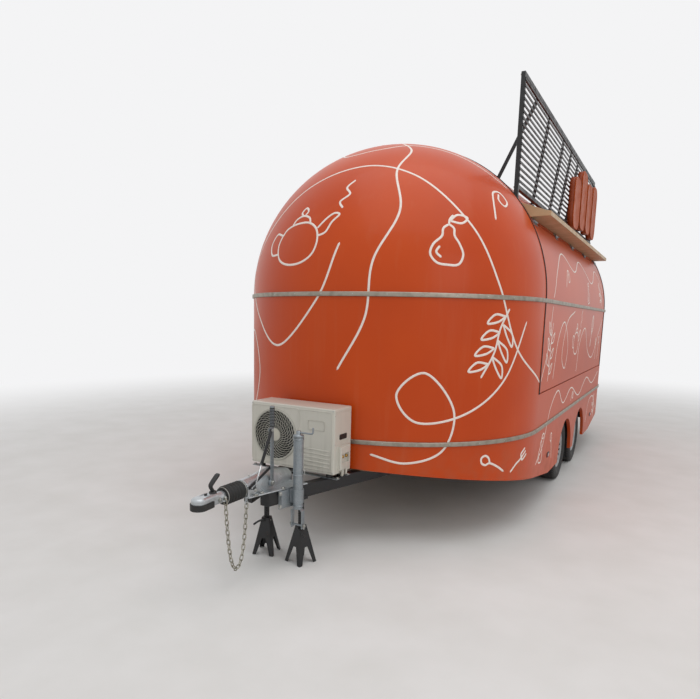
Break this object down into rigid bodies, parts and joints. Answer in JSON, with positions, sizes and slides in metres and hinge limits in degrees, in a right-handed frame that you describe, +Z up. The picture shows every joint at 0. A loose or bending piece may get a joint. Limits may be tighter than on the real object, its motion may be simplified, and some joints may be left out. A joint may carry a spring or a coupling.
{
  "type": "food trailer",
  "caption": "Round-nosed food trailer on tandem axles with serving hatch, drawbar coupling, roof sign frame and air conditioner, parked on stands.",
  "frame": {"origin": "centre of the bounding box at ground level, on the plane the tyres stand on", "axes": "+X to the serving side, +Y from the drawbar towards the tail, +Z up"},
  "size_m": [2.364, 7.1418, 3.24],
  "materials": {
    "body_orange": "satin",
    "trim_aluminium": "brushed",
    "seal_black": "matte",
    "floor_board": "matte",
    "counter_steel": "brushed",
    "galvanised": "spangled",
    "tyre": "matte",
    "wheel_silver": "satin",
    "black_paint": "satin",
    "black_plastic": "matte",
    "chain_steel": "worn",
    "cabinet_cream": "satin",
    "guard_grey": "matte",
    "stand_black": "satin",
    "sign_orange": "matte",
    "visor_tan": "satin",
    "lamp_red": "gloss",
    "interior_white": "satin",
    "rod_chrome": "polished"
  },
  "bodies": {
    "body": {"nose_shell": "body_orange", "tail_shell": "body_orange", "left_wall": "body_orange", "roof_shell": "body_orange", "right_skirt": "body_orange", "body_trims": "trim_aluminium", "seam_seals": "seal_black", "floor_panel": "floor_board", "wheel_boxes": "galvanised", "counter": "counter_steel", "hatch_jambs": "interior_white", "chassis_rails": "black_paint", "cross_members": "black_paint", "drawbar_beams": "black_paint", "axles": "galvanised", "fixed_hinge_leaves": "galvanised", "overrun_housing": "galvanised", "drawbar_shaft": "galvanised", "bellows": "seal_black", "coupler_head": "galvanised", "coupler_pad": "seal_black", "coupler_handle": "black_paint", "handbrake_lever": "galvanised", "handbrake_spring": "black_paint", "jack_tube": "galvanised", "jack_crank": "galvanised", "stand_bases": "stand_black", "stand_posts": "stand_black", "safety_chains": "chain_steel", "unit_mounts": "galvanised", "unit_cabinet": "cabinet_cream", "fan_guard": "guard_grey", "sign_frame": "black_paint", "sign_braces": "black_paint", "sign_slats": "black_paint", "sign_forms": "sign_orange", "visor": "visor_tan", "lamps": "lamp_red"},
    "hatch_panel": {"hatch": "body_orange", "hatch_trim": "trim_aluminium", "hatch_hinge_leaves": "galvanised", "strut_head_brackets": "galvanised"},
    "strut_cylinder_front": {"strut_tube_front": "black_paint"},
    "strut_plunger_front": {"strut_rod_front": "rod_chrome"},
    "strut_cylinder_rear": {"strut_tube_rear": "black_paint"},
    "strut_plunger_rear": {"strut_rod_rear": "rod_chrome"},
    "door_leaf": {"entry_door": "body_orange", "door_trims": "trim_aluminium", "door_hinge_leaves": "galvanised", "door_handle": "black_plastic"},
    "jack_slider": {"jack_leg": "galvanised"},
    "condenser_fan": {"fan_rotor": "black_plastic"},
    "wheel_front_right": {"tyre_front_right": "tyre", "rim_front_right": "wheel_silver"},
    "wheel_front_left": {"tyre_front_left": "tyre", "rim_front_left": "wheel_silver"},
    "wheel_rear_right": {"tyre_rear_right": "tyre", "rim_rear_right": "wheel_silver"},
    "wheel_rear_left": {"tyre_rear_left": "tyre", "rim_rear_left": "wheel_silver"}
  },
  "joints": [
    {"name": "wheel_spin_front_right", "type": "hinge", "parent": "body", "child": "wheel_front_right", "pos_m": [1.04, 0.169, 0.29], "axis": [1, 0, 0], "continuous": true},
    {"name": "wheel_spin_front_left", "type": "hinge", "parent": "body", "child": "wheel_front_left", "pos_m": [-1.04, 0.169, 0.29], "axis": [1, 0, 0], "continuous": true},
    {"name": "wheel_spin_rear_right", "type": "hinge", "parent": "body", "child": "wheel_rear_right", "pos_m": [1.04, 1.019, 0.29], "axis": [1, 0, 0], "continuous": true},
    {"name": "wheel_spin_rear_left", "type": "hinge", "parent": "body", "child": "wheel_rear_left", "pos_m": [-1.04, 1.019, 0.29], "axis": [1, 0, 0], "continuous": true},
    {"name": "hatch_hinge", "type": "hinge", "parent": "body", "child": "hatch_panel", "pos_m": [1.0286, 0.589, 2.22477], "axis": [0, -1, 0], "range_deg": [0, 75]},
    {"name": "strut_swing_front", "type": "hinge", "parent": "body", "child": "strut_cylinder_front", "pos_m": [1.06, -1.1527, 1.28], "axis": [0, 1, 0], "range_deg": [0, 13.1]},
    {"name": "strut_slide_front", "type": "slide", "parent": "strut_cylinder_front", "child": "strut_plunger_front", "axis": [-0.0209, 0, 0.9998], "range_m": [0, 0.2021]},
    {"name": "strut_swing_rear", "type": "hinge", "parent": "body", "child": "strut_cylinder_rear", "pos_m": [1.06, 2.3307, 1.28], "axis": [0, 1, 0], "range_deg": [0, 13.1]},
    {"name": "strut_slide_rear", "type": "slide", "parent": "strut_cylinder_rear", "child": "strut_plunger_rear", "axis": [-0.0209, 0, 0.9998], "range_m": [0, 0.2021]},
    {"name": "door_hinge", "type": "hinge", "parent": "body", "child": "door_leaf", "pos_m": [-1.1758, -0.947, 1.18], "axis": [0, 0, 1], "range_deg": [0, 105]},
    {"name": "jack_slide", "type": "slide", "parent": "body", "child": "jack_slider", "axis": [0, 0, -1], "range_m": [0, 0.2]},
    {"name": "fan_spin", "type": "hinge", "parent": "body", "child": "condenser_fan", "pos_m": [-0.19, -2.566, 0.736], "axis": [0, 1, 0], "continuous": true}
  ],
  "couplings": [
    {"joint": "strut_swing_front", "follows": "hatch_hinge", "ratio": 0.17447},
    {"joint": "strut_slide_front", "follows": "hatch_hinge", "m_per_rad": 0.15431},
    {"joint": "strut_swing_rear", "follows": "hatch_hinge", "ratio": 0.17447},
    {"joint": "strut_slide_rear", "follows": "hatch_hinge", "m_per_rad": 0.15431}
  ]
}
